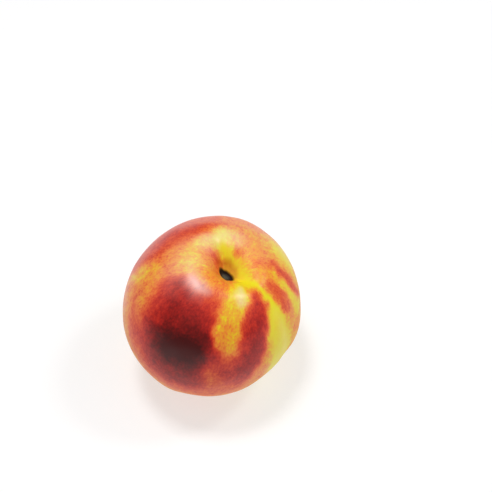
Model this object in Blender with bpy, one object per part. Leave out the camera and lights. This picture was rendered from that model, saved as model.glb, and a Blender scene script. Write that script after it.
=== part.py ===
"""One ripe nectarine at its real size, lying on a level surface as it came to rest.

The fruit grew as one body, so it is one solid. Its own frame has +Z along the stem
axis, out of the stem cavity, +X towards the suture, and +Y across the cheeks. The
skin is a sphere whose points are moved by a few rules: the two half widths and the
heights, broad swellings and flats, the suture's groove, the stem cavity with the
stem's scar at its bottom, and the small point at the tip. The fruit then leans over
until it rests beside its point, on the small flat spot that its weight presses.
"""

import math
from typing import NamedTuple

import bmesh
import bpy
from mathutils import Matrix, Vector

MM = 0.001

# Half widths and heights, from the middle of the fruit
CHEEK_HALF_WIDTH = 35.8 * MM
SUTURE_HALF_WIDTH = 33.5 * MM
STEM_END_HEIGHT = 33.0 * MM
TIP_END_HEIGHT = 33.5 * MM
TIP_TAPER = 0.06
TIP_TAPER_POWER = 1.5

# The small point at the tip, in a shallow dimple
POINT_HEIGHT = 1.0 * MM
POINT_SPREAD_DEG = 3.5
DIMPLE_DEPTH = 0.4 * MM
DIMPLE_SPREAD_DEG = 9.0

# The groove of the suture, from the stem cavity to the tip, shallower on the lower half
SUTURE_DEPTH = 0.65 * MM
SUTURE_HALF_GROOVE = 3.4 * MM
SUTURE_FADE_IN = -0.05
SUTURE_FADE_OUT = 0.25
SUTURE_LOWER_SHARE = 0.35
SUTURE_LOWER_HEIGHT = -0.15
SUTURE_UPPER_HEIGHT = 0.45

# The stem cavity: a wide funnel, a steeper neck in it, and the long pit at the bottom
FUNNEL_DEPTH = 5.4 * MM
FUNNEL_HALF_WIDTH = 9.4 * MM
FUNNEL_OFFSET = 1.6 * MM
FUNNEL_OFFSET_LONGITUDE_DEG = 115.0
NECK_DEPTH = 4.8 * MM
NECK_HALF_WIDTH = 5.0 * MM
NECK_OFFSET = 0.36 * MM
NECK_OFFSET_LONGITUDE_DEG = 236.0
PIT_DEPTH = 1.0 * MM
PIT_FLOOR_RADIUS = 1.2 * MM
PIT_MOUTH_RADIUS = 2.3 * MM
PIT_STRETCH = 1.7
PIT_TURN_DEG = -10.0
CAVITY_FADE_HEIGHT = 0.3

# Folds that run down the funnel's wall, full from this radius and gone at their reach
FOLD_INNER_RADIUS = 6.0 * MM
FOLD_REACH = 13.0 * MM
FAR_FOLD_REACH = 18.0 * MM

# The dry scar where the stem broke off
SCAR_RADIUS = 0.9 * MM
SCAR_HEIGHT = 0.5 * MM

# How the fruit lies: the way it leans, and its turn about its own stem axis
LEAN_DEG = 17.0
LEAN_HEADING_DEG = -25.0
TURN_DEG = -4.4
FLAT_SPOT_DEPTH = 0.55 * MM

# Mesh density; rings are closer together round the stem cavity and round the flat spot
MERIDIANS = 78
RINGS = 70
RING_CROWDING = 0.55
WELD_DISTANCE = 0.15 * MM
CUT_TOLERANCE = 0.001 * MM
POLE_TOLERANCE = 1e-6

# Skin colour and finish, as the light areas between the blush
SKIN_COLOUR = (0.83, 0.36, 0.06, 1.0)
SKIN_ROUGHNESS = 0.42


class Swelling(NamedTuple):
    """A broad rise of the skin, or a flat where its height is negative."""

    longitude_deg: float
    polar_deg: float
    spread_deg: float
    height: float


class Fold(NamedTuple):
    """A shallow valley down the wall of the stem cavity."""

    longitude_deg: float
    spread_deg: float
    depth: float
    reach: float = FOLD_REACH


SWELLINGS = (
    Swelling(longitude_deg=108.0, polar_deg=50.0, spread_deg=26.0, height=0.55 * MM),
    Swelling(longitude_deg=178.0, polar_deg=78.0, spread_deg=22.0, height=-0.3 * MM),
    Swelling(longitude_deg=205.0, polar_deg=96.0, spread_deg=16.0, height=-0.35 * MM),
    Swelling(longitude_deg=277.0, polar_deg=121.0, spread_deg=9.0, height=0.5 * MM),
    Swelling(longitude_deg=300.0, polar_deg=119.0, spread_deg=9.0, height=-0.5 * MM),
    Swelling(longitude_deg=350.0, polar_deg=100.0, spread_deg=15.0, height=-0.5 * MM),
    Swelling(longitude_deg=14.0, polar_deg=80.0, spread_deg=13.0, height=0.8 * MM),
    Swelling(longitude_deg=347.0, polar_deg=162.0, spread_deg=13.0, height=0.5 * MM),
)

FOLDS = (
    Fold(longitude_deg=0.0, spread_deg=24.0, depth=1.5 * MM),
    Fold(longitude_deg=142.0, spread_deg=16.0, depth=1.6 * MM, reach=FAR_FOLD_REACH),
    Fold(longitude_deg=292.0, spread_deg=12.0, depth=0.45 * MM),
)


def direction(longitude_deg, polar_deg):
    """The unit vector at a longitude from the suture and an angle from the stem axis."""
    longitude, polar = math.radians(longitude_deg), math.radians(polar_deg)
    return Vector(
        (
            math.sin(polar) * math.cos(longitude),
            math.sin(polar) * math.sin(longitude),
            math.cos(polar),
        )
    )


def bell(distance, spread):
    """1 at no distance, falling smoothly to nothing past about twice the spread."""
    return math.exp(-((distance / spread) ** 2))


def smooth_step(low, high, value):
    """0 up to low and 1 from high, with a smooth rise between them."""
    share = min(1.0, max(0.0, (value - low) / (high - low)))
    return share * share * (3.0 - 2.0 * share)


def body_point(towards):
    """The skin before its groove and cavity: two half spheroids with their swellings."""
    height = STEM_END_HEIGHT if towards.z > 0.0 else TIP_END_HEIGHT
    taper = 1.0 - TIP_TAPER * max(0.0, -towards.z) ** TIP_TAPER_POWER
    point = Vector(
        (
            SUTURE_HALF_WIDTH * taper * towards.x,
            CHEEK_HALF_WIDTH * taper * towards.y,
            height * towards.z,
        )
    )
    for swelling in SWELLINGS:
        centre = direction(swelling.longitude_deg, swelling.polar_deg)
        apart_deg = math.degrees(towards.angle(centre))
        point += towards * swelling.height * bell(apart_deg, swelling.spread_deg)
    from_tip_deg = math.degrees(towards.angle(Vector((0.0, 0.0, -1.0))))
    point -= towards * DIMPLE_DEPTH * bell(from_tip_deg, DIMPLE_SPREAD_DEG)
    point += towards * POINT_HEIGHT * bell(from_tip_deg, POINT_SPREAD_DEG)
    return point


def suture_depth(point, towards):
    """How far the suture's groove takes the skin in. It lies on the +X side alone."""
    side = smooth_step(SUTURE_FADE_IN, SUTURE_FADE_OUT, towards.x)
    upper = smooth_step(SUTURE_LOWER_HEIGHT, SUTURE_UPPER_HEIGHT, towards.z)
    share = SUTURE_LOWER_SHARE + (1.0 - SUTURE_LOWER_SHARE) * upper
    return SUTURE_DEPTH * share * side * bell(point.y, SUTURE_HALF_GROOVE)


def fold_depth(longitude_deg, radius):
    """How far the folds deepen the funnel at this distance from the stem axis."""
    total = 0.0
    for fold in FOLDS:
        apart_deg = (longitude_deg - fold.longitude_deg + 180.0) % 360.0 - 180.0
        fade = 1.0 - smooth_step(FOLD_INNER_RADIUS, fold.reach, radius)
        total += fold.depth * fade * bell(apart_deg, fold.spread_deg)
    return total * smooth_step(0.0, FOLD_INNER_RADIUS, radius)


def across_axis(point, offset, longitude_deg):
    """A point's place across the stem axis, seen from a centre at this offset."""
    centre = direction(longitude_deg, 90.0) * offset
    return Vector((point.x - centre.x, point.y - centre.y))


def pit_radius(place):
    """The distance from the pit's centre, less along the pit's long way."""
    turn = math.radians(PIT_TURN_DEG)
    along = place.x * math.cos(turn) + place.y * math.sin(turn)
    aside = place.y * math.cos(turn) - place.x * math.sin(turn)
    return math.hypot(along / PIT_STRETCH, aside)


def cavity_depth(point):
    """How far the stem cavity takes a point of the upper half down the stem axis."""
    in_funnel = across_axis(point, FUNNEL_OFFSET, FUNNEL_OFFSET_LONGITUDE_DEG)
    depth = FUNNEL_DEPTH * bell(in_funnel.length, FUNNEL_HALF_WIDTH)
    in_neck = across_axis(point, NECK_OFFSET, NECK_OFFSET_LONGITUDE_DEG)
    depth += NECK_DEPTH * bell(in_neck.length, NECK_HALF_WIDTH)
    longitude_deg = math.degrees(math.atan2(point.y, point.x))
    depth += fold_depth(longitude_deg, math.hypot(point.x, point.y))
    radius = pit_radius(in_neck)
    opening = smooth_step(PIT_FLOOR_RADIUS, PIT_MOUTH_RADIUS, radius)
    depth += PIT_DEPTH * (1.0 - opening)
    depth -= SCAR_HEIGHT * bell(radius, SCAR_RADIUS)
    return depth * smooth_step(0.0, CAVITY_FADE_HEIGHT, point.z / STEM_END_HEIGHT)


def skin_point(towards):
    """Where the skin lies in the direction of a unit vector, in the fruit's own frame."""
    point = body_point(towards)
    point -= towards * suture_depth(point, towards)
    point.z -= cavity_depth(point)
    return point


def rest_rotation():
    """The fruit's turn from its own frame, stem upright, to the way that it lies."""
    heading = Matrix.Rotation(math.radians(LEAN_HEADING_DEG), 3, "Z")
    lean = Matrix.Rotation(math.radians(LEAN_DEG), 3, "Y")
    turn = Matrix.Rotation(math.radians(TURN_DEG), 3, "Z")
    return heading @ lean @ turn


def ring_direction(towards, down):
    """Moves a sphere's point, so that its upper rings lie round the stem axis and its
    lower rings round the way down."""
    even = math.acos(max(-1.0, min(1.0, towards.z)))
    polar = even - RING_CROWDING / 2.0 * math.sin(2.0 * even)
    flat = math.hypot(towards.x, towards.y)
    spread = math.sin(polar) / max(flat, POLE_TOLERANCE)
    moved = Vector((towards.x * spread, towards.y * spread, math.cos(polar)))
    tip = Vector((0.0, 0.0, -1.0))
    shift = tip.angle(down) * smooth_step(0.0, 1.0, -moved.z)
    return Matrix.Rotation(shift, 3, tip.cross(down)) @ moved.normalized()


def press_flat_spot(mesh, down):
    """Cuts the flat spot level across the lowest skin. Returns its height."""
    lowest = min(-down.dot(vertex.co) for vertex in mesh.verts)
    level = lowest + FLAT_SPOT_DEPTH
    cut = bmesh.ops.bisect_plane(
        mesh,
        geom=mesh.verts[:] + mesh.edges[:] + mesh.faces[:],
        dist=CUT_TOLERANCE,
        plane_co=-down * level,
        plane_no=down,
        clear_outer=True,
    )
    rim = [item for item in cut["geom_cut"] if isinstance(item, bmesh.types.BMVert)]
    bmesh.ops.remove_doubles(mesh, verts=rim, dist=WELD_DISTANCE)
    rim_edges = [edge for edge in mesh.edges if edge.is_boundary]
    bmesh.ops.contextual_create(mesh, geom=rim_edges)
    for edge in rim_edges:
        edge.smooth = False
    return level


def make_fruit(collection):
    """The whole fruit: one skin with its cavity, groove, point and flat spot."""
    mesh = bmesh.new()
    bmesh.ops.create_uvsphere(
        mesh, u_segments=MERIDIANS, v_segments=RINGS, radius=1.0
    )
    rotation = rest_rotation()
    down = rotation.inverted() @ Vector((0.0, 0.0, -1.0))
    for vertex in mesh.verts:
        vertex.co = skin_point(ring_direction(vertex.co, down))
    level = press_flat_spot(mesh, down)
    bmesh.ops.recalc_face_normals(mesh, faces=mesh.faces[:])
    for face in mesh.faces:
        face.smooth = True

    placed = [rotation @ vertex.co for vertex in mesh.verts]
    middle_x = (min(p.x for p in placed) + max(p.x for p in placed)) / 2.0
    middle_y = (min(p.y for p in placed) + max(p.y for p in placed)) / 2.0
    data = bpy.data.meshes.new("nectarine")
    mesh.to_mesh(data)
    mesh.free()

    fruit = bpy.data.objects.new("nectarine", data)
    place = Matrix.Translation((-middle_x, -middle_y, -level))
    fruit.matrix_world = place @ rotation.to_4x4()
    collection.objects.link(fruit)
    return fruit


def skin_material():
    """The skin's plain colour and its satin finish."""
    material = bpy.data.materials.new("nectarine_skin")
    material.use_nodes = True
    shader = material.node_tree.nodes["Principled BSDF"]
    shader.inputs["Base Color"].default_value = SKIN_COLOUR
    shader.inputs["Roughness"].default_value = SKIN_ROUGHNESS
    shader.inputs["Metallic"].default_value = 0.0
    return material


def main():
    for item in list(bpy.data.objects):
        bpy.data.objects.remove(item, do_unlink=True)
    collection = bpy.data.collections.new("nectarine")
    bpy.context.scene.collection.children.link(collection)
    fruit = make_fruit(collection)
    fruit.data.materials.append(skin_material())


main()
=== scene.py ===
"""The looks of one ripe nectarine, as it lies on the small flat spot under it.

The skin is one piece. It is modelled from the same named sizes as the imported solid, on
a much finer mesh, so that the stem cavity, the scar at its bottom, the suture's groove
and the point at the tip have their real relief. The blush is painted with a few dozen
strokes of set place, width and softness, kept on the mesh as attributes, and the skin's
finish breaks their edges into the small flecks of a ripe fruit.

Directions on the fruit are given by two angles in degrees: the longitude, which starts
at the suture, and the polar angle, which is 0 at the stem end and 180 at the tip.
"""

import logging
import math
from dataclasses import dataclass, field
from enum import Enum

import bmesh
import bpy
import numpy as np
from mathutils import Matrix, Vector

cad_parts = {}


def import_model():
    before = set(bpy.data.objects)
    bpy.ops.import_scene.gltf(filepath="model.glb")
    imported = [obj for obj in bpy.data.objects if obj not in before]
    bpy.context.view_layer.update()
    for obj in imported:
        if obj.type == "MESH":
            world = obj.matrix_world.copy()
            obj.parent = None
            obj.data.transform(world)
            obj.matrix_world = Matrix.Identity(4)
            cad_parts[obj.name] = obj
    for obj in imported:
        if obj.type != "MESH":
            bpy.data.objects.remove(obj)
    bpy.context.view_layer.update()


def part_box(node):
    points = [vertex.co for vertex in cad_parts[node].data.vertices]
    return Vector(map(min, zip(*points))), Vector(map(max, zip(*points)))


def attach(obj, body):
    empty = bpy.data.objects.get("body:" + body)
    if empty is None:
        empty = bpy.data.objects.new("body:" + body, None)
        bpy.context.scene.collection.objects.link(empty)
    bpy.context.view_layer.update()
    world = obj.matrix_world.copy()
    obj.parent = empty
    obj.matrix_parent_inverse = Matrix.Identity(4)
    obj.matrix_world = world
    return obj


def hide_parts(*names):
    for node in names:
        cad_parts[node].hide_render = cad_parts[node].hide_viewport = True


MM = 0.001
FRUIT_NODE = "nectarine"
BODY = "root"

# The display's own curve, from a stored share of light to the real one
DISPLAY_KNEE = 0.04045
DISPLAY_SLOPE = 12.92
DISPLAY_OFFSET = 0.055
DISPLAY_POWER = 2.4

# The colour sockets of a Mix node, which share their names with its other sockets
MIX_FIRST = 6
MIX_SECOND = 7
MIX_RESULT = 2

FULL_TURN = 2.0 * math.pi
HALF_CIRCLE_DEG = 180.0
FULL_CIRCLE_DEG = 360.0

log = logging.getLogger("nectarine")


class Field(Enum):
    """The attributes that the skin's mesh carries for its finish."""

    BLUSH = "blush"
    POLISH = "polish"
    PALE_TINT_AND_HIGHLIGHT = "cream"
    RUSSET_AND_SHADE = "russet"
    PIT_DARK_AND_SHADE = "pit"
    SCAR = "scar"
    GRAIN = "grain"


class Operation(Enum):
    """The plain operations on two numbers that the finishes use."""

    ADD = "ADD"
    SUBTRACT = "SUBTRACT"
    MULTIPLY = "MULTIPLY"


def bell(distance: np.ndarray, spread: float) -> np.ndarray:
    """Returns 1 at no distance, falling smoothly past the spread."""
    return np.exp(-((distance / spread) ** 2))


def smooth_step(low: float, high: float, value: np.ndarray) -> np.ndarray:
    """Returns 0 up to low and 1 from high, with a smooth rise between them."""
    share = np.clip((value - low) / (high - low), 0.0, 1.0)
    return share * share * (3.0 - 2.0 * share)


def unit_vectors(longitude_deg: np.ndarray, polar_deg: np.ndarray) -> np.ndarray:
    """Turns angles on the fruit into directions.

    Args:
        longitude_deg: Longitudes from the suture, in degrees.
        polar_deg: Angles from the stem axis, in degrees.

    Returns:
        One unit vector for each pair of angles, in the fruit's own frame.
    """
    longitude, polar = np.radians(longitude_deg), np.radians(polar_deg)
    return np.stack(
        [
            np.sin(polar) * np.cos(longitude),
            np.sin(polar) * np.sin(longitude),
            np.cos(polar),
        ],
        axis=-1,
    )


def angle_between(directions: np.ndarray, towards: np.ndarray) -> np.ndarray:
    """Returns the angle in degrees from each direction to one direction."""
    return np.degrees(np.arccos(np.clip(directions @ towards, -1.0, 1.0)))


def linear(code: str) -> tuple[float, float, float, float]:
    """Turns a display colour into a linear one.

    Args:
        code: The colour as six hexadecimal digits.

    Returns:
        Its red, green and blue, and an alpha of 1.
    """
    shares = [int(code[start : start + 2], 16) / 255.0 for start in (0, 2, 4)]
    red, green, blue = (
        share / DISPLAY_SLOPE
        if share <= DISPLAY_KNEE
        else ((share + DISPLAY_OFFSET) / (1.0 + DISPLAY_OFFSET)) ** DISPLAY_POWER
        for share in shares
    )
    return red, green, blue, 1.0


@dataclass(frozen=True)
class Swelling:
    """A broad rise of the skin, or a flat where its height is negative."""

    longitude_deg: float
    polar_deg: float
    spread_deg: float
    height: float


@dataclass(frozen=True)
class Fold:
    """A shallow valley down the wall of the stem cavity."""

    longitude_deg: float
    spread_deg: float
    depth: float
    reach: float = 13.0 * MM


@dataclass(frozen=True)
class Ripple:
    """The slight unevenness of a grown skin, as waves in set random directions."""

    waves: int = 36
    longest: float = 15.0 * MM
    shortest: float = 5.0 * MM
    height: float = 0.035 * MM
    seed: int = 7

    def heights(self, points: np.ndarray) -> np.ndarray:
        """Works out the unevenness at points of the skin.

        Args:
            points: Places on the skin, in metres.

        Returns:
            How far each place rises, in metres.
        """
        draw = np.random.default_rng(self.seed)
        total = np.zeros(len(points))
        for _ in range(self.waves):
            towards = draw.normal(size=3)
            towards /= np.linalg.norm(towards)
            length = draw.uniform(self.shortest, self.longest)
            phase = draw.uniform(0.0, FULL_TURN)
            total += np.cos(points @ towards * (FULL_TURN / length) + phase)
        return total * self.height / math.sqrt(self.waves / 2.0)


@dataclass(frozen=True)
class FruitForm:
    """The fruit's shape in its own frame: +Z out of the stem cavity, +X to the suture."""

    cheek_half_width: float = 35.8 * MM
    suture_half_width: float = 33.5 * MM
    stem_end_height: float = 33.0 * MM
    tip_end_height: float = 33.5 * MM
    tip_taper: float = 0.06
    tip_taper_power: float = 1.5

    point_height: float = 1.0 * MM
    point_spread_deg: float = 3.5
    dimple_depth: float = 0.4 * MM
    dimple_spread_deg: float = 9.0

    suture_groove: float = 0.65 * MM
    suture_half_groove: float = 3.4 * MM
    suture_fade: tuple[float, float] = (-0.05, 0.25)
    suture_lower_share: float = 0.35
    suture_heights: tuple[float, float] = (-0.15, 0.45)

    funnel_depth: float = 5.4 * MM
    funnel_half_width: float = 9.4 * MM
    funnel_offset: float = 1.6 * MM
    funnel_offset_longitude_deg: float = 115.0
    neck_depth: float = 4.8 * MM
    neck_half_width: float = 5.0 * MM
    neck_offset: float = 0.36 * MM
    neck_offset_longitude_deg: float = 236.0
    pit_depth: float = 1.0 * MM
    pit_floor_radius: float = 1.2 * MM
    pit_mouth_radius: float = 2.3 * MM
    pit_stretch: float = 1.7
    pit_turn_deg: float = -10.0
    cavity_fade_height: float = 0.3
    fold_start: float = 6.0 * MM

    scar_radius: float = 0.9 * MM
    scar_height: float = 0.5 * MM
    scar_fibres: int = 11
    scar_fibre_height: float = 0.12 * MM

    lean_deg: float = 17.0
    lean_heading_deg: float = -25.0
    turn_deg: float = -4.4

    swellings: tuple[Swelling, ...] = (
        Swelling(longitude_deg=108.0, polar_deg=50.0, spread_deg=26.0, height=0.55 * MM),
        Swelling(longitude_deg=178.0, polar_deg=78.0, spread_deg=22.0, height=-0.3 * MM),
        Swelling(longitude_deg=205.0, polar_deg=96.0, spread_deg=16.0, height=-0.35 * MM),
        Swelling(longitude_deg=277.0, polar_deg=121.0, spread_deg=9.0, height=0.5 * MM),
        Swelling(longitude_deg=300.0, polar_deg=119.0, spread_deg=9.0, height=-0.5 * MM),
        Swelling(longitude_deg=350.0, polar_deg=100.0, spread_deg=15.0, height=-0.5 * MM),
        Swelling(longitude_deg=14.0, polar_deg=80.0, spread_deg=13.0, height=0.8 * MM),
        Swelling(longitude_deg=347.0, polar_deg=162.0, spread_deg=13.0, height=0.5 * MM),
    )
    folds: tuple[Fold, ...] = (
        Fold(longitude_deg=0.0, spread_deg=24.0, depth=1.5 * MM),
        Fold(longitude_deg=142.0, spread_deg=16.0, depth=1.6 * MM, reach=18.0 * MM),
        Fold(longitude_deg=292.0, spread_deg=12.0, depth=0.45 * MM),
    )
    ripple: Ripple = field(default_factory=Ripple)

    def rotation(self) -> np.ndarray:
        """Works out the turn from the fruit's own frame to the way that it lies.

        Returns:
            The turn, as a matrix of three rows.
        """
        heading = Matrix.Rotation(math.radians(self.lean_heading_deg), 3, "Z")
        lean = Matrix.Rotation(math.radians(self.lean_deg), 3, "Y")
        turn = Matrix.Rotation(math.radians(self.turn_deg), 3, "Z")
        return np.array(heading @ lean @ turn)

    def body_points(self, directions: np.ndarray) -> np.ndarray:
        """Works out the skin before its groove and its cavity.

        Args:
            directions: Unit vectors in the fruit's own frame.

        Returns:
            A place on the body for each direction, in metres.
        """
        upward = directions[:, 2]
        height = np.where(upward > 0.0, self.stem_end_height, self.tip_end_height)
        narrowed = np.clip(-upward, 0.0, 1.0) ** self.tip_taper_power
        taper = 1.0 - self.tip_taper * narrowed
        points = np.stack(
            [
                self.suture_half_width * taper * directions[:, 0],
                self.cheek_half_width * taper * directions[:, 1],
                height * upward,
            ],
            axis=1,
        )
        rise = self.ripple.heights(points)
        for swelling in self.swellings:
            centre = unit_vectors(swelling.longitude_deg, swelling.polar_deg)
            apart_deg = angle_between(directions, centre)
            rise += swelling.height * bell(apart_deg, swelling.spread_deg)
        from_tip_deg = angle_between(directions, np.array([0.0, 0.0, -1.0]))
        rise -= self.dimple_depth * bell(from_tip_deg, self.dimple_spread_deg)
        rise += self.point_height * bell(from_tip_deg, self.point_spread_deg)
        return points + directions * rise[:, None]

    def suture_depth(self, points: np.ndarray, directions: np.ndarray) -> np.ndarray:
        """Works out how far the suture's groove takes each point in.

        Args:
            points: Places on the body, in metres.
            directions: Their unit vectors, in the fruit's own frame.

        Returns:
            A depth for each place, in metres.
        """
        side = smooth_step(*self.suture_fade, directions[:, 0])
        upper = smooth_step(*self.suture_heights, directions[:, 2])
        share = self.suture_lower_share + (1.0 - self.suture_lower_share) * upper
        across = bell(points[:, 1], self.suture_half_groove)
        return self.suture_groove * share * side * across

    def fold_depth(self, longitude_deg: np.ndarray, radius: np.ndarray) -> np.ndarray:
        """Works out how far the folds deepen the cavity.

        Args:
            longitude_deg: The longitude of each place, in degrees.
            radius: Its distance from the stem axis, in metres.

        Returns:
            A depth for each place, in metres.
        """
        total = np.zeros(len(radius))
        for fold in self.folds:
            past_deg = longitude_deg - fold.longitude_deg + HALF_CIRCLE_DEG
            apart_deg = past_deg % FULL_CIRCLE_DEG - HALF_CIRCLE_DEG
            fade = 1.0 - smooth_step(self.fold_start, fold.reach, radius)
            total += fold.depth * fade * bell(apart_deg, fold.spread_deg)
        return total * smooth_step(0.0, self.fold_start, radius)

    def across_axis(
        self, points: np.ndarray, offset: float, longitude_deg: float
    ) -> tuple[np.ndarray, np.ndarray]:
        """Works out places across the stem axis, seen from a centre beside it.

        Args:
            points: Places on the body, in metres.
            offset: How far the centre lies from the axis, in metres.
            longitude_deg: The way that it lies in.

        Returns:
            The two coordinates of each place, in metres.
        """
        centre = unit_vectors(longitude_deg, 90.0) * offset
        return points[:, 0] - centre[0], points[:, 1] - centre[1]

    def pit_radius(self, points: np.ndarray) -> np.ndarray:
        """Works out the distance from the pit's centre, less along its long way.

        Args:
            points: Places on the body, in metres.

        Returns:
            A distance for each place, in metres.
        """
        x, y = self.across_axis(points, self.neck_offset, self.neck_offset_longitude_deg)
        turn = math.radians(self.pit_turn_deg)
        along = x * math.cos(turn) + y * math.sin(turn)
        aside = y * math.cos(turn) - x * math.sin(turn)
        return np.hypot(along / self.pit_stretch, aside)

    def cavity_depth(self, points: np.ndarray) -> np.ndarray:
        """Works out how far the stem cavity takes points down the stem axis.

        Args:
            points: Places on the body, in metres.

        Returns:
            A depth for each place, in metres.
        """
        longitude = np.arctan2(points[:, 1], points[:, 0])
        funnel = self.across_axis(
            points, self.funnel_offset, self.funnel_offset_longitude_deg
        )
        neck = self.across_axis(points, self.neck_offset, self.neck_offset_longitude_deg)
        depth = self.funnel_depth * bell(np.hypot(*funnel), self.funnel_half_width)
        depth += self.neck_depth * bell(np.hypot(*neck), self.neck_half_width)
        radius = np.hypot(points[:, 0], points[:, 1])
        depth += self.fold_depth(np.degrees(longitude), radius)
        pit = self.pit_radius(points)
        opening = smooth_step(self.pit_floor_radius, self.pit_mouth_radius, pit)
        depth += self.pit_depth * (1.0 - opening)
        scar = bell(pit, self.scar_radius)
        fibres = np.cos(self.scar_fibres * longitude) * scar * (1.0 - scar)
        depth -= self.scar_height * scar + self.scar_fibre_height * fibres
        fade = smooth_step(0.0, self.cavity_fade_height, points[:, 2] / self.stem_end_height)
        return depth * fade

    def skin_points(self, directions: np.ndarray) -> np.ndarray:
        """Works out the finished skin, with its groove and its cavity.

        Args:
            directions: Unit vectors in the fruit's own frame.

        Returns:
            A place on the skin for each direction, in metres.
        """
        points = self.body_points(directions)
        points -= directions * self.suture_depth(points, directions)[:, None]
        points[:, 2] -= self.cavity_depth(points)
        return points


@dataclass(frozen=True)
class Stroke:
    """One stroke of a brush, along a route on the skin.

    The level of a blush stroke is how red the skin gets under it: 0 is clear yellow,
    0.3 gold, 0.6 orange-red, 0.8 red and 1 a dark maroon. Other strokes' levels are
    shares from 0 to 1. Each stop of the route is a longitude, a polar angle and the
    brush's half width there, all in degrees.
    """

    level: float
    softness_deg: float
    route: tuple[tuple[float, float, float], ...]

    def cover(self, directions: np.ndarray) -> np.ndarray:
        """Works out how fully the stroke covers the skin.

        Args:
            directions: Unit vectors in the fruit's own frame.

        Returns:
            A share from 0 to 1 for each direction.
        """
        stops = np.array(self.route)
        places = unit_vectors(stops[:, 0], stops[:, 1])
        inside = np.full(len(directions), -HALF_CIRCLE_DEG)
        for start, end, low, high in zip(places, places[1:], stops[:, 2], stops[1:, 2]):
            along = end - start
            share = np.clip((directions - start) @ along / (along @ along), 0.0, 1.0)
            nearest = start + share[:, None] * along
            nearest /= np.linalg.norm(nearest, axis=1)[:, None]
            cosine = np.clip(np.sum(directions * nearest, axis=1), -1.0, 1.0)
            half_width = low + (high - low) * share
            inside = np.maximum(inside, half_width - np.degrees(np.arccos(cosine)))
        return smooth_step(-self.softness_deg, self.softness_deg, inside)


# The far and lower skin, a calm gold with a few warmer clouds
HIDDEN_SIDE = (
    Stroke(0.38, 16, ((70, 84, 14), (100, 100, 16), (130, 92, 14))),
    Stroke(0.55, 12, ((96, 70, 6), (104, 92, 8), (100, 112, 6))),
    Stroke(0.10, 12, ((60, 62, 8), (50, 90, 10), (30, 120, 12), (0, 150, 16), (0, 180, 18))),
    Stroke(0.45, 14, ((215, 100, 14), (240, 125, 14), (275, 130, 12))),
    Stroke(0.48, 10, ((300, 140, 6), (310, 120, 8))),
)

# The orange shoulders round the stem cavity
SHOULDERS = (
    Stroke(0.49, 10, ((207, 42, 10), (211, 56, 13), (204, 76, 14), (214, 96, 10))),
    Stroke(0.28, 6, ((209, 52, 5), (207, 64, 7), (203, 74, 5))),
    Stroke(0.18, 7, ((165, 24, 6), (183, 29, 7), (200, 25, 8), (226, 19, 5))),
    Stroke(0.42, 6, ((222, 10, 3.5), (238, 13, 4), (270, 16, 7), (292, 16, 5), (300, 9, 4))),
    Stroke(0.35, 7, ((22, 18, 6), (50, 16, 8), (90, 24, 10), (120, 32, 8))),
    Stroke(0.46, 6, ((34, 24, 3), (46, 29, 5), (50, 24, 3))),
    Stroke(0.50, 8, ((88, 46, 10), (112, 50, 9))),
    Stroke(0.50, 5, ((158, 31, 3.5), (170, 33, 4), (184, 37, 4))),
)

# The rose band over the far shoulder
FAR_BAND = (
    Stroke(0.54, 7, ((128, 36, 8), (150, 42, 9), (166, 48, 9))),
    Stroke(0.66, 8, ((136, 48, 8), (152, 58, 13), (172, 72, 15), (184, 86, 14))),
    Stroke(0.71, 6, ((148, 40, 5), (164, 45, 12), (180, 55, 15), (188, 74, 12))),
    Stroke(0.74, 7, ((162, 48, 5), (174, 57, 8), (182, 74, 9), (172, 96, 12))),
    Stroke(0.82, 5, ((170, 50, 2), (176, 55, 4))),
)

# The red cheek, darkest low down in its middle
RED_CHEEK = (
    Stroke(0.63, 9, ((232, 78, 6), (250, 92, 10), (275, 98, 12), (300, 92, 14), (322, 84, 12))),
    Stroke(0.64, 6, ((222, 69, 3.5), (230, 75, 5), (240, 82, 6))),
    Stroke(0.62, 5, ((238, 31, 7), (254, 28, 6), (274, 27, 7), (288, 30, 6))),
    Stroke(0.73, 6, ((243, 43, 13), (262, 41, 13), (275, 38, 11))),
    Stroke(0.86, 6, ((238, 36, 7), (250, 37, 9), (264, 39, 9), (277, 39, 8))),
    Stroke(0.83, 7, ((243, 48, 12), (262, 50, 14), (275, 52, 14))),
    Stroke(0.85, 8, ((248, 63, 13), (262, 68, 18), (276, 70, 17))),
    Stroke(0.78, 8, ((246, 78, 8), (268, 84, 10), (288, 82, 9))),
    Stroke(0.80, 8, ((299, 62, 7), (304, 67, 9), (312, 74, 9))),
    Stroke(0.93, 8, ((253, 67, 8), (264, 75, 13), (281, 78, 12))),
    Stroke(0.95, 7, ((250, 44, 7), (258, 42, 8), (268, 43, 8))),
    Stroke(1.01, 9, ((266, 62, 13), (277, 61, 15))),
    Stroke(1.00, 7, ((270, 52, 6), (278, 51, 8))),
    Stroke(1.14, 10, ((267, 65, 9), (277, 61, 10))),
    Stroke(0.76, 4, ((238, 28, 3.5), (248, 25.5, 3.5), (260, 25, 3))),
    Stroke(0.36, 3.5, ((214, 17, 3), (228, 20.5, 2.2), (246, 20.5, 1.4))),
)

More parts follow.
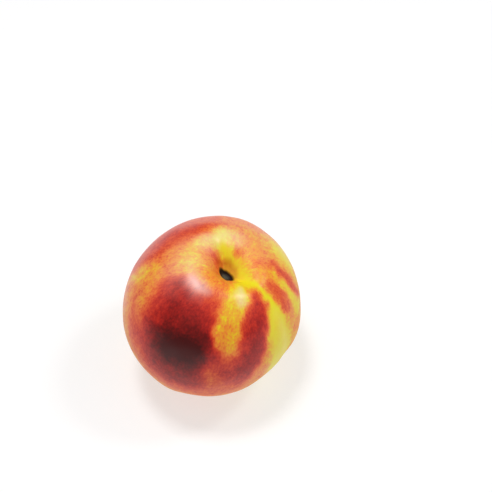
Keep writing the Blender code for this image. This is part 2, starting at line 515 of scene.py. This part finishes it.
# The clear yellow down the cavity's wall, round its floor and along the suture
YELLOW_VALLEY = (
    Stroke(0.02, 4, ((134, 27, 4.5), (141, 21, 5.5), (139, 15.5, 5), (122, 10, 4))),
    Stroke(0.02, 4, ((122, 10, 4), (88, 7.2, 2.9), (44, 7.2, 3.0), (10, 9, 4))),
    Stroke(0.02, 4, ((10, 9.5, 4), (345, 13, 4), (325, 14, 5), (318, 20, 5))),
    Stroke(0.04, 4, ((318, 20, 5), (313, 26, 4.8))),
    Stroke(0.14, 4, ((311, 27, 4.8), (306, 33, 5.2))),
    Stroke(0.16, 5, ((303, 33.5, 6.2), (300, 40.5, 5.2))),
    Stroke(0.32, 5, ((300, 41, 5), (301, 49, 3.5))),
    Stroke(-0.04, 3.5, ((357, 14, 4), (356, 24, 3.5), (356, 32, 4), (354, 40, 6), (353, 50, 9))),
    Stroke(0.00, 3.5, ((353, 50, 9), (353, 66, 10), (351, 82, 11), (354, 110, 7), (0, 150, 5))),
    Stroke(0.48, 4, ((186, 18, 3), (196, 14, 3), (226, 8.5, 2.5))),
    Stroke(0.64, 3, ((174, 16, 2.2), (171, 12.5, 3.2), (176, 8.5, 3.2))),
    Stroke(0.60, 2.5, ((92, 11.5, 1.2), (98, 13, 2), (104, 15.5, 1.5))),
    Stroke(0.55, 3, ((44, 20, 2), (50, 17, 2.5))),
)

# The red stripes on both sides of the suture
SUTURE_STRIPES = (
    Stroke(0.42, 5, ((333, 62, 3), (331, 76, 4), (330, 90, 7))),
    Stroke(0.74, 3.5, ((343, 25.5, 4), (338, 32.5, 7.5), (331, 41, 9))),
    Stroke(0.80, 4, ((337, 33, 6), (330.5, 41, 8.8), (327.5, 49, 9.5), (326, 56, 9.5))),
    Stroke(0.82, 5, ((326, 55, 9.5), (322, 65, 10.5), (319, 76, 8))),
    Stroke(0.92, 5, ((334, 41, 2.5), (330, 50, 4.5), (326, 60, 6), (322, 70, 5))),
    Stroke(
        0.64,
        3,
        ((12.5, 26.5, 3.5), (13.5, 31, 5.2), (13, 36, 6), (12.5, 42, 5.3), (10, 50, 3.5)),
    ),
    Stroke(0.34, 5, ((9, 56, 3), (10, 70, 4), (12, 84, 5))),
    Stroke(0.06, 3, ((30, 29, 1.8), (28, 34, 2.6), (25, 40, 3.2), (20.5, 50, 4), (20, 62, 4))),
    Stroke(0.55, 3, ((48, 20, 1.6), (41, 27, 2.2))),
    Stroke(0.71, 3, ((40, 29, 2.2), (36.5, 34, 3.2), (33, 43, 3.4), (31, 60, 3))),
    Stroke(0.02, 8, ((50, 50, 6), (60, 44, 8), (74, 42, 5))),
)

# How glossy the skin is: 0 is dull and 1 is polished
POLISH = (
    Stroke(0.0, 4, ((0, 0, 9), (115, 6, 9))),
    Stroke(0.1, 5, ((20, 16, 5), (60, 16, 7), (98, 14, 5))),
    Stroke(0.2, 5, ((178, 16, 5), (210, 15, 5))),
    Stroke(0.2, 5, ((262, 15, 4), (285, 17, 5), (304, 17, 3))),
    Stroke(0.9, 8, ((232, 27, 9), (248, 25, 7))),
    Stroke(0.9, 5, ((118, 20, 4), (137, 22, 6), (162, 21, 5))),
    Stroke(1.0, 4, ((322, 16, 4), (321, 25, 4))),
    Stroke(0.1, 12, ((34, 40, 12), (26, 70, 16), (6, 98, 16))),
    Stroke(0.3, 14, ((340, 106, 14), (300, 104, 14), (262, 100, 14), (232, 96, 10))),
)

# How much pale tint the skin takes: partly its own pale bloom round the stem, partly painted
# highlight where the lights shine and painted reflection of the pale floor at its left edge
PALE_TINT_AND_HIGHLIGHT = (
    # Broad pale patches over the top: partly the skin's own pale ground, partly painted sheen of
    # the lights above
    Stroke(0.11, 10, ((60, 26, 6), (90, 30, 12), (120, 34, 8))),
    Stroke(0.15, 10, ((172, 20, 5), (198, 28, 13), (218, 34, 9))),
    # Painted highlights: the main gloss spot on the cheek, the far rim of the cavity and the
    # near rim by the suture
    Stroke(0.25, 7, ((212, 26, 3), (230, 26, 4), (252, 25, 3.5))),
    Stroke(0.34, 5, ((238, 26, 3), (248, 25, 3.5), (258, 25, 3))),
    Stroke(0.32, 6, ((112, 22, 4), (130, 25, 5), (166, 24, 5))),
    Stroke(0.34, 3, ((320, 18, 2), (318, 25, 2.5))),
    Stroke(0.00, 2.5, ((142, 15, 3), (130, 11, 3), (86, 8, 3), (20, 9, 3))),
    # Painted reflection of the pale floor along the left edge
    Stroke(0.12, 8, ((206, 78, 4), (220, 88, 6), (232, 98, 5))),
    Stroke(0.08, 7, ((140, 44, 4), (156, 50, 6))),
)

# The brown rim of the pit: partly brown tissue round the scar, partly painted shade where the
# narrow neck above the pit falls dark
RUSSET_AND_SHADE = (
    Stroke(
        0.72,
        2.5,
        ((168, 8, 1.3), (143, 6.5, 1.8), (112, 5.8, 1.6), (66, 4.5, 0.8), (20, 4.5, 0.5)),
    ),
)


@dataclass(frozen=True)
class StrokePattern:
    """A level all over the skin, painted stroke over stroke."""

    ground: float
    strokes: tuple[Stroke, ...]
    drift_deg: float = 0.8
    drift_waves: int = 14
    drift_length: tuple[float, float] = (0.10, 0.35)
    seed: int = 21

    def drifted(self, directions: np.ndarray) -> np.ndarray:
        """Shifts directions a little, so that no stroke keeps an even edge.

        Args:
            directions: Unit vectors in the fruit's own frame.

        Returns:
            Unit vectors, each a degree or two from its own place.
        """
        draw = np.random.default_rng(self.seed)
        shift = np.zeros_like(directions)
        for _ in range(self.drift_waves):
            towards = draw.normal(size=3)
            towards /= np.linalg.norm(towards)
            length = draw.uniform(*self.drift_length)
            phase = draw.uniform(0.0, FULL_TURN)
            wave = np.cos(directions @ towards * (FULL_TURN / length) + phase)
            shift += wave[:, None] * draw.normal(size=3)
        shift *= math.radians(self.drift_deg) / math.sqrt(self.drift_waves / 2.0)
        moved = directions + shift
        return moved / np.linalg.norm(moved, axis=1)[:, None]

    def levels(self, directions: np.ndarray) -> np.ndarray:
        """Works out the painted level, one stroke after the other.

        Args:
            directions: Unit vectors in the fruit's own frame.

        Returns:
            A level for each direction.
        """
        places = self.drifted(directions)
        level = np.full(len(directions), self.ground)
        for stroke in self.strokes:
            level += (stroke.level - level) * stroke.cover(places)
        return level


class NodeSheet:
    """A material's node tree, with short ways to add the nodes that it needs."""

    def __init__(self, name: str) -> None:
        """Starts a material whose tree holds its shader and its output alone."""
        self.material = bpy.data.materials.new(name)
        self.material.use_nodes = True
        self.nodes = self.material.node_tree.nodes
        self.links = self.material.node_tree.links
        self.shader = self.nodes["Principled BSDF"]

    def put(self, socket: bpy.types.NodeSocket, value: object) -> None:
        """Links an output to a socket, or sets the socket to a plain value.

        Args:
            socket: The socket that takes it.
            value: A node's output, or the plain value.
        """
        if isinstance(value, bpy.types.NodeSocket):
            self.links.new(value, socket)
        else:
            socket.default_value = value

    def attribute(self, field_name: Field, output: str = "Fac") -> bpy.types.NodeSocket:
        """Adds a reader for one of the mesh's own attributes.

        Args:
            field_name: The attribute.
            output: The name of the reader's output: "Fac" or "Vector".

        Returns:
            The attribute's numbers.
        """
        node = self.nodes.new("ShaderNodeAttribute")
        node.attribute_name = field_name.value
        return node.outputs[output]

    def sums(self, kind: Operation, first: object, second: object) -> bpy.types.NodeSocket:
        """Adds a plain operation on two numbers.

        Args:
            kind: The operation.
            first: Its first number, or the output that gives it.
            second: Its second number, or the output that gives it.

        Returns:
            The result.
        """
        node = self.nodes.new("ShaderNodeMath")
        node.operation = kind.value
        self.put(node.inputs[0], first)
        self.put(node.inputs[1], second)
        return node.outputs["Value"]

    def noise(self, place: object, scale: float, detail: float) -> bpy.types.NodeSocket:
        """Adds a noise pattern.

        Args:
            place: The coordinates that it reads.
            scale: Its scale over those coordinates.
            detail: How many finer layers it has.

        Returns:
            The noise, from 0 to 1 and mostly near a half.
        """
        node = self.nodes.new("ShaderNodeTexNoise")
        self.put(node.inputs["Vector"], place)
        node.inputs["Scale"].default_value = scale
        node.inputs["Detail"].default_value = detail
        return node.outputs["Fac"]

    def ramp(
        self, factor: object, stops: tuple[tuple[float, tuple], ...]
    ) -> bpy.types.NodeSocket:
        """Adds a colour ramp.

        Args:
            factor: What it reads, from 0 to 1.
            stops: Places from 0 to 1, each with its linear colour.

        Returns:
            The colour.
        """
        node = self.nodes.new("ShaderNodeValToRGB")
        elements = node.color_ramp.elements
        while len(elements) < len(stops):
            elements.new(1.0)
        for element, (place, colour) in zip(elements, stops):
            element.position = place
            element.color = colour
        self.put(node.inputs["Fac"], factor)
        return node.outputs["Color"]

    def span(
        self, value: object, source: tuple[float, float], target: tuple[float, float]
    ) -> bpy.types.NodeSocket:
        """Moves a number from one range to another and holds it inside.

        Args:
            value: The number, or the output that gives it.
            source: The range that it comes from.
            target: The range that it goes to.

        Returns:
            The moved number.
        """
        node = self.nodes.new("ShaderNodeMapRange")
        self.put(node.inputs["Value"], value)
        node.inputs["From Min"].default_value = source[0]
        node.inputs["From Max"].default_value = source[1]
        node.inputs["To Min"].default_value = target[0]
        node.inputs["To Max"].default_value = target[1]
        return node.outputs["Result"]

    def mix(self, share: object, first: object, second: object) -> bpy.types.NodeSocket:
        """Lays a share of one colour over another.

        Args:
            share: How much of the second colour shows, from 0 to 1.
            first: The colour under it.
            second: The colour over it.

        Returns:
            The mixed colour.
        """
        node = self.nodes.new("ShaderNodeMix")
        node.data_type = "RGBA"
        self.put(node.inputs["Factor"], share)
        self.put(node.inputs[MIX_FIRST], first)
        self.put(node.inputs[MIX_SECOND], second)
        return node.outputs[MIX_RESULT]

    def bump(self, height: object, strength: float, distance: float) -> bpy.types.NodeSocket:
        """Adds a fine relief.

        Args:
            height: The relief's height, from 0 to 1.
            strength: How much of it shows.
            distance: What a height of 1 stands for, in metres.

        Returns:
            The normals of the relief.
        """
        node = self.nodes.new("ShaderNodeBump")
        node.inputs["Strength"].default_value = strength
        node.inputs["Distance"].default_value = distance
        self.put(node.inputs["Height"], height)
        return node.outputs["Normal"]


@dataclass(frozen=True)
class SkinFinish:
    """The ripe skin: satin, thin, and flecked from yellow through red to maroon."""

    stops: tuple[tuple[float, str], ...] = (
        (-0.05, "EDDF1E"),
        (0.00, "EDD91F"),
        (0.10, "EFC724"),
        (0.20, "F0B329"),
        (0.35, "F2972F"),
        (0.50, "EF7C32"),
        (0.60, "EA652B"),
        (0.70, "DF4B24"),
        (0.80, "CD301E"),
        (0.90, "AD1E18"),
        (1.00, "7C1210"),
        (1.10, "4B0A0A"),
    )
    lowest: float = -0.1
    highest: float = 1.2
    fleck_weights: tuple[tuple[float, float], ...] = (
        (-0.10, 0.05),
        (0.00, 0.15),
        (0.15, 0.75),
        (0.30, 1.00),
        (0.45, 0.90),
        (0.60, 0.50),
        (0.75, 0.38),
        (0.90, 0.30),
        (1.10, 0.20),
    )
    fleck_scale: float = 42.0
    fleck_detail: float = 3.0
    fleck_level: float = 0.85
    patch_scale: float = 15.0
    patch_level: float = 0.65
    cloud_scale: float = 5.0
    cloud_level: float = 0.34
    broad_detail: float = 2.0
    # The pale tint, which also serves as painted highlight and painted reflection
    pale_tint_and_highlight_colour: str = "F5EDDC"
    russet_and_shade_colour: str = "C04C08"
    # Near-black of the pit: partly dark dry scar tissue, partly painted shade standing in for a
    # deeper stem hole
    pit_dark_and_shade_colour: str = "1E100A"
    scar_colours: tuple[str, str] = ("2C281C", "5E5A44")
    scar_fibre_scale: float = 60.0
    scar_fibre_detail: float = 3.0
    scar_fibre_range: tuple[float, float] = (0.35, 0.65)
    roughness: tuple[float, float] = (0.56, 0.25)
    smear: float = 0.25
    smear_scale: float = 16.0
    smear_detail: float = 3.0
    pore_scale: float = 90.0
    pore_detail: float = 2.0
    pore_strength: float = 0.25
    pore_depth: float = 0.05 * MM
    bending: float = 1.41
    flesh_glow: float = 0.06
    flesh_glow_colours: tuple[float, float, float] = (1.0, 0.35, 0.1)
    flesh_glow_reach: float = 1.5 * MM

    def blush(self, sheet: NodeSheet, grain: bpy.types.NodeSocket) -> bpy.types.NodeSocket:
        """Adds the flecked level of the blush.

        Args:
            sheet: The material's tree.
            grain: The coordinates that follow the fruit's growth.

        Returns:
            The level, with the flecks in it.
        """
        level = sheet.attribute(Field.BLUSH)
        layers = (
            (self.fleck_scale, self.fleck_detail, self.fleck_level),
            (self.patch_scale, self.broad_detail, self.patch_level),
            (self.cloud_scale, self.broad_detail, self.cloud_level),
        )
        flecks = 0.0
        for scale, detail, strength in layers:
            noise = sheet.noise(grain, scale, detail)
            centred = sheet.sums(Operation.SUBTRACT, noise, 0.5)
            layer = sheet.sums(Operation.MULTIPLY, centred, strength)
            flecks = sheet.sums(Operation.ADD, layer, flecks)
        reach = self.highest - self.lowest
        weights = tuple(
            ((place - self.lowest) / reach, (share, share, share, 1.0))
            for place, share in self.fleck_weights
        )
        share = sheet.span(level, (self.lowest, self.highest), (0.0, 1.0))
        weighted = sheet.sums(Operation.MULTIPLY, flecks, sheet.ramp(share, weights))
        return sheet.sums(Operation.ADD, level, weighted)

    def colour(self, sheet: NodeSheet, grain: bpy.types.NodeSocket) -> bpy.types.NodeSocket:
        """Adds the skin's colour, with the pit and the scar in it.

        Args:
            sheet: The material's tree.
            grain: The coordinates that follow the fruit's growth.

        Returns:
            The colour.
        """
        level = self.blush(sheet, grain)
        share = sheet.span(level, (self.lowest, self.highest), (0.0, 1.0))
        reach = self.highest - self.lowest
        stops = tuple(
            ((place - self.lowest) / reach, linear(code)) for place, code in self.stops
        )
        skin = sheet.ramp(share, stops)
        # Pale tint: partly the skin's own bloom, partly painted highlight and painted reflection
        skin = sheet.mix(sheet.attribute(Field.PALE_TINT_AND_HIGHLIGHT), skin, linear(self.pale_tint_and_highlight_colour))
        # Brown rim of the pit: partly real brown tissue, partly painted shade of the narrow neck
        skin = sheet.mix(sheet.attribute(Field.RUSSET_AND_SHADE), skin, linear(self.russet_and_shade_colour))
        # The pit's near-black: partly dark scar tissue, partly painted shade of a deeper hole
        skin = sheet.mix(sheet.attribute(Field.PIT_DARK_AND_SHADE), skin, linear(self.pit_dark_and_shade_colour))
        dry, pale = (linear(code) for code in self.scar_colours)
        fibre = sheet.noise(grain, self.scar_fibre_scale, self.scar_fibre_detail)
        scar = sheet.mix(sheet.span(fibre, self.scar_fibre_range, (0.0, 1.0)), dry, pale)
        return sheet.mix(sheet.attribute(Field.SCAR), skin, scar)

    def material(self) -> bpy.types.Material:
        """Puts the whole finish together.

        Returns:
            The skin's material.
        """
        sheet = NodeSheet("nectarine_skin")
        grain = sheet.attribute(Field.GRAIN, "Vector")
        shader = sheet.shader
        sheet.put(shader.inputs["Base Color"], self.colour(sheet, grain))
        smears = sheet.noise(grain, self.smear_scale, self.smear_detail)
        smear = sheet.sums(Operation.MULTIPLY, smears, self.smear)
        polish = sheet.sums(Operation.ADD, sheet.attribute(Field.POLISH), smear)
        shine = sheet.span(polish, (0.0, 1.0 + self.smear), self.roughness)
        sheet.put(shader.inputs["Roughness"], shine)
        pores = sheet.noise(grain, self.pore_scale, self.pore_detail)
        relief = sheet.bump(pores, self.pore_strength, self.pore_depth)
        sheet.put(shader.inputs["Normal"], relief)
        shader.inputs["IOR"].default_value = self.bending
        shader.inputs["Subsurface Weight"].default_value = self.flesh_glow
        shader.inputs["Subsurface Radius"].default_value = self.flesh_glow_colours
        shader.inputs["Subsurface Scale"].default_value = self.flesh_glow_reach
        return sheet.material


@dataclass
class NectarineSkin:
    """The whole fruit's visible skin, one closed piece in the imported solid's place."""

    form: FruitForm = field(default_factory=FruitForm)
    blush: StrokePattern = StrokePattern(
        0.27, HIDDEN_SIDE + SHOULDERS + FAR_BAND + RED_CHEEK + YELLOW_VALLEY + SUTURE_STRIPES
    )
    polish: StrokePattern = StrokePattern(0.75, POLISH)
    cream: StrokePattern = StrokePattern(0.0, PALE_TINT_AND_HIGHLIGHT)
    russet: StrokePattern = StrokePattern(0.0, RUSSET_AND_SHADE)
    finish: SkinFinish = field(default_factory=SkinFinish)
    flat_spot_depth: float = 0.55 * MM
    meridians: int = 360
    rings: int = 250
    ring_crowding: float = 0.6
    pole_tolerance: float = 1e-6
    grain_stretch: float = 0.75
    grain_spread: float = 0.4
    pit_dark_and_shade_edge: tuple[float, float] = (1.7 * MM, 2.3 * MM)
    scar_edge: tuple[float, float] = (0.4 * MM, 1.2 * MM)
    centre: Vector = field(default_factory=Vector)

    def ring_directions(self, directions: np.ndarray) -> np.ndarray:
        """Crowds a sphere's rings round the stem cavity and round the flat spot.

        Args:
            directions: A sphere's own unit vectors.

        Returns:
            Where those vectors move to.
        """
        even = np.arccos(np.clip(directions[:, 2], -1.0, 1.0))
        polar = even - self.ring_crowding / 2.0 * np.sin(2.0 * even)
        flat = np.hypot(directions[:, 0], directions[:, 1])
        spread = np.sin(polar) / np.maximum(flat, self.pole_tolerance)
        moved = np.stack(
            [directions[:, 0] * spread, directions[:, 1] * spread, np.cos(polar)], axis=1
        )
        tip = np.array([0.0, 0.0, -1.0])
        down = self.form.rotation().T @ tip
        axis = np.cross(tip, down)
        axis /= np.linalg.norm(axis)
        shift = np.arccos(tip @ down) * smooth_step(0.0, 1.0, -moved[:, 2])
        cosine, sine = np.cos(shift)[:, None], np.sin(shift)[:, None]
        turned = moved * cosine + np.cross(axis, moved) * sine
        return turned + axis * (moved @ axis)[:, None] * (1.0 - cosine)

    def pressed(self, points: np.ndarray) -> np.ndarray:
        """Presses the lowest skin level, so that the fruit has its flat spot.

        Args:
            points: The skin as it lies, in metres.

        Returns:
            The same places, with none below the flat spot.
        """
        level = points[:, 2].min() + self.flat_spot_depth
        points[:, 2] = np.maximum(points[:, 2], level)
        return points

    def place(self, points: np.ndarray) -> np.ndarray:
        """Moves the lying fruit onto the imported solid.

        Args:
            points: The skin as it lies, about the fruit's own middle.

        Returns:
            The skin in the frame's own place, on the same base and middle.
        """
        low, high = (np.array(corner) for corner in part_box(FRUIT_NODE))
        shift = (low + high) / 2.0 - (points.min(axis=0) + points.max(axis=0)) / 2.0
        shift[2] = low[2] - points[:, 2].min()
        self.centre = Vector(shift)
        return points + shift

    def fields(self, directions: np.ndarray) -> dict[Field, np.ndarray]:
        """Works out the attributes that the finish reads.

        Args:
            directions: Each vertex's direction in the fruit's own frame.

        Returns:
            The numbers of each attribute, vertex by vertex.
        """
        form = self.form
        pit = form.pit_radius(form.body_points(directions))
        upper = directions[:, 2] > 0.0
        longitude = np.arctan2(directions[:, 1], directions[:, 0])
        polar = np.arccos(np.clip(directions[:, 2], -1.0, 1.0))
        spread = np.sin(polar) ** self.grain_spread
        grain = np.stack(
            [
                np.cos(longitude) * spread,
                np.sin(longitude) * spread,
                polar * self.grain_stretch,
            ],
            axis=1,
        )
        # Darkens the pit out to its edge: dark scar tissue together with painted shade of a
        # deeper hole
        dark = 1.0 - smooth_step(*self.pit_dark_and_shade_edge, pit)
        scar = 1.0 - smooth_step(*self.scar_edge, pit)
        return {
            Field.BLUSH: self.blush.levels(directions),
            Field.POLISH: self.polish.levels(directions),
            Field.PALE_TINT_AND_HIGHLIGHT: self.cream.levels(directions),
            Field.RUSSET_AND_SHADE: self.russet.levels(directions),
            Field.PIT_DARK_AND_SHADE: dark * upper,
            Field.SCAR: scar * upper,
            Field.GRAIN: grain,
        }

    def build(self) -> bpy.types.Object:
        """Models the skin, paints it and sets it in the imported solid's place.

        Returns:
            The finished piece.
        """
        sphere = bmesh.new()
        bmesh.ops.create_uvsphere(
            sphere, u_segments=self.meridians, v_segments=self.rings, radius=1.0
        )
        mesh = bpy.data.meshes.new("nectarine_fruit")
        sphere.to_mesh(mesh)
        sphere.free()

        flat = np.empty(len(mesh.vertices) * 3)
        mesh.vertices.foreach_get("co", flat)
        directions = self.ring_directions(flat.reshape(-1, 3))
        lying = self.form.skin_points(directions) @ self.form.rotation().T
        points = self.place(self.pressed(lying))
        mesh.vertices.foreach_set("co", points.ravel())
        for name, values in self.fields(directions).items():
            vector = values.ndim == 2
            kind = "FLOAT_VECTOR" if vector else "FLOAT"
            attribute = mesh.attributes.new(name.value, kind, "POINT")
            attribute.data.foreach_set("vector" if vector else "value", values.ravel())
        mesh.shade_smooth()
        mesh.materials.append(self.finish.material())
        mesh.update()

        skin = bpy.data.objects.new("nectarine_fruit", mesh)
        bpy.context.scene.collection.objects.link(skin)
        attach(skin, BODY)
        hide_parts(FRUIT_NODE)
        return skin


@dataclass(frozen=True)
class Floor:
    """The plain pale floor under the fruit."""

    half_width: float = 8.0
    colour: str = "B2B2B2"
    roughness: float = 0.8
    glow_colour: str = "FFFFFF"
    # The floor glows on its own, which lights the fruit from below and keeps the shadow under it
    # faint
    glow: float = 0.58

    def build(self) -> bpy.types.Object:
        """Models the floor.

        Returns:
            The finished piece.
        """
        sheet = NodeSheet("floor_finish")
        sheet.shader.inputs["Base Color"].default_value = linear(self.colour)
        sheet.shader.inputs["Roughness"].default_value = self.roughness
        sheet.shader.inputs["Emission Color"].default_value = linear(self.glow_colour)
        sheet.shader.inputs["Emission Strength"].default_value = self.glow
        plane = bmesh.new()
        bmesh.ops.create_grid(plane, x_segments=1, y_segments=1, size=self.half_width)
        mesh = bpy.data.meshes.new("floor")
        plane.to_mesh(mesh)
        plane.free()
        mesh.materials.append(sheet.material)
        floor = bpy.data.objects.new("floor", mesh)
        bpy.context.scene.collection.objects.link(floor)
        return floor


@dataclass(frozen=True)
class Softbox:
    """One soft area light, aimed at the fruit."""

    name: str
    towards: tuple[float, float, float]
    distance: float
    width: float
    depth: float
    power: float

    def build(self, aim: Vector) -> bpy.types.Object:
        """Hangs the light and turns it to face the fruit's middle.

        Args:
            aim: The fruit's middle, in metres.

        Returns:
            The hung light.
        """
        light = bpy.data.lights.new(self.name, "AREA")
        light.shape = "RECTANGLE"
        light.size = self.width
        light.size_y = self.depth
        light.energy = self.power
        lamp = bpy.data.objects.new(self.name, light)
        way = Vector(self.towards).normalized()
        lamp.location = aim + way * self.distance
        lamp.rotation_euler = way.to_track_quat("Z", "Y").to_euler()
        lamp.visible_camera = False
        bpy.context.scene.collection.objects.link(lamp)
        return lamp


@dataclass(frozen=True)
class Studio:
    """The floor, the soft light and the camera at the photograph's angle."""

    floor: Floor = field(default_factory=Floor)
    softboxes: tuple[Softbox, ...] = (
        Softbox("overhead_softbox", (-0.14, 0.06, 0.99), 1.0, 0.22, 0.22, 4.75),
        Softbox("side_softbox", (0.54, 0.12, 0.83), 1.0, 0.18, 0.18, 2.3),
        Softbox("ceiling_panel", (0.05, -0.3, 0.95), 1.1, 1.6, 1.6, 2.1),
        Softbox("right_panel", (0.8, -0.2, 0.65), 1.3, 1.0, 1.0, 2.0),
        Softbox("left_panel", (-0.85, 0.25, 0.55), 1.3, 1.0, 1.0, 2.3),
    )
    room_colour: str = "FFFFFF"
    room_strength: float = 0.15
    image_px: float = 492.0
    sensor: float = 36.0
    focal_px: float = 1040.0
    distance: float = 0.400
    elevation_deg: float = 50.0
    nearest_view: float = 0.01
    fruit_px: tuple[float, float] = (211.5, 306.0)

    def light_room(self) -> None:
        """Gives the room its even pale light."""
        world = bpy.data.worlds.new("pale_room")
        world.use_nodes = True
        background = world.node_tree.nodes["Background"]
        background.inputs["Color"].default_value = linear(self.room_colour)
        background.inputs["Strength"].default_value = self.room_strength
        bpy.context.scene.world = world

    def place_camera(self, centre: Vector) -> None:
        """Sets the camera so that the fruit's middle falls on its own pixel.

        Args:
            centre: The fruit's middle, in metres.
        """
        camera = bpy.data.cameras.new("camera")
        camera.sensor_width = self.sensor
        camera.lens = self.focal_px * self.sensor / self.image_px
        camera.clip_start = self.nearest_view
        stand = bpy.data.objects.new("camera", camera)
        tilt = Matrix.Rotation(math.radians(90.0 - self.elevation_deg), 3, "X")
        across = (self.fruit_px[0] - self.image_px / 2.0) / self.focal_px
        down = (self.fruit_px[1] - self.image_px / 2.0) / self.focal_px
        ray = tilt @ Vector((across, -down, -1.0)).normalized()
        stand.matrix_world = Matrix.Translation(centre - ray * self.distance) @ tilt.to_4x4()
        bpy.context.scene.collection.objects.link(stand)
        bpy.context.scene.camera = stand

    def build(self, centre: Vector) -> None:
        """Builds the studio round the fruit.

        Args:
            centre: The fruit's middle, in metres.
        """
        floor = self.floor.build()
        log.info("%s is %.1f m wide", floor.name, 2.0 * self.floor.half_width)
        self.light_room()
        for softbox in self.softboxes:
            lamp = softbox.build(centre)
            log.info("%s hangs %.1f m from the fruit", lamp.name, softbox.distance)
        self.place_camera(centre)
        bpy.context.scene.view_settings.view_transform = "Standard"


def main() -> None:
    """Builds the fruit and its studio."""
    logging.basicConfig(level=logging.INFO, format="%(name)s: %(message)s")
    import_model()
    skin = NectarineSkin()
    piece = skin.build()
    log.info("%s has %d faces", piece.name, len(piece.data.polygons))
    Studio().build(skin.centre)
    log.info("the studio stands round %s", tuple(round(value, 4) for value in skin.centre))


if __name__ == "__main__":
    main()
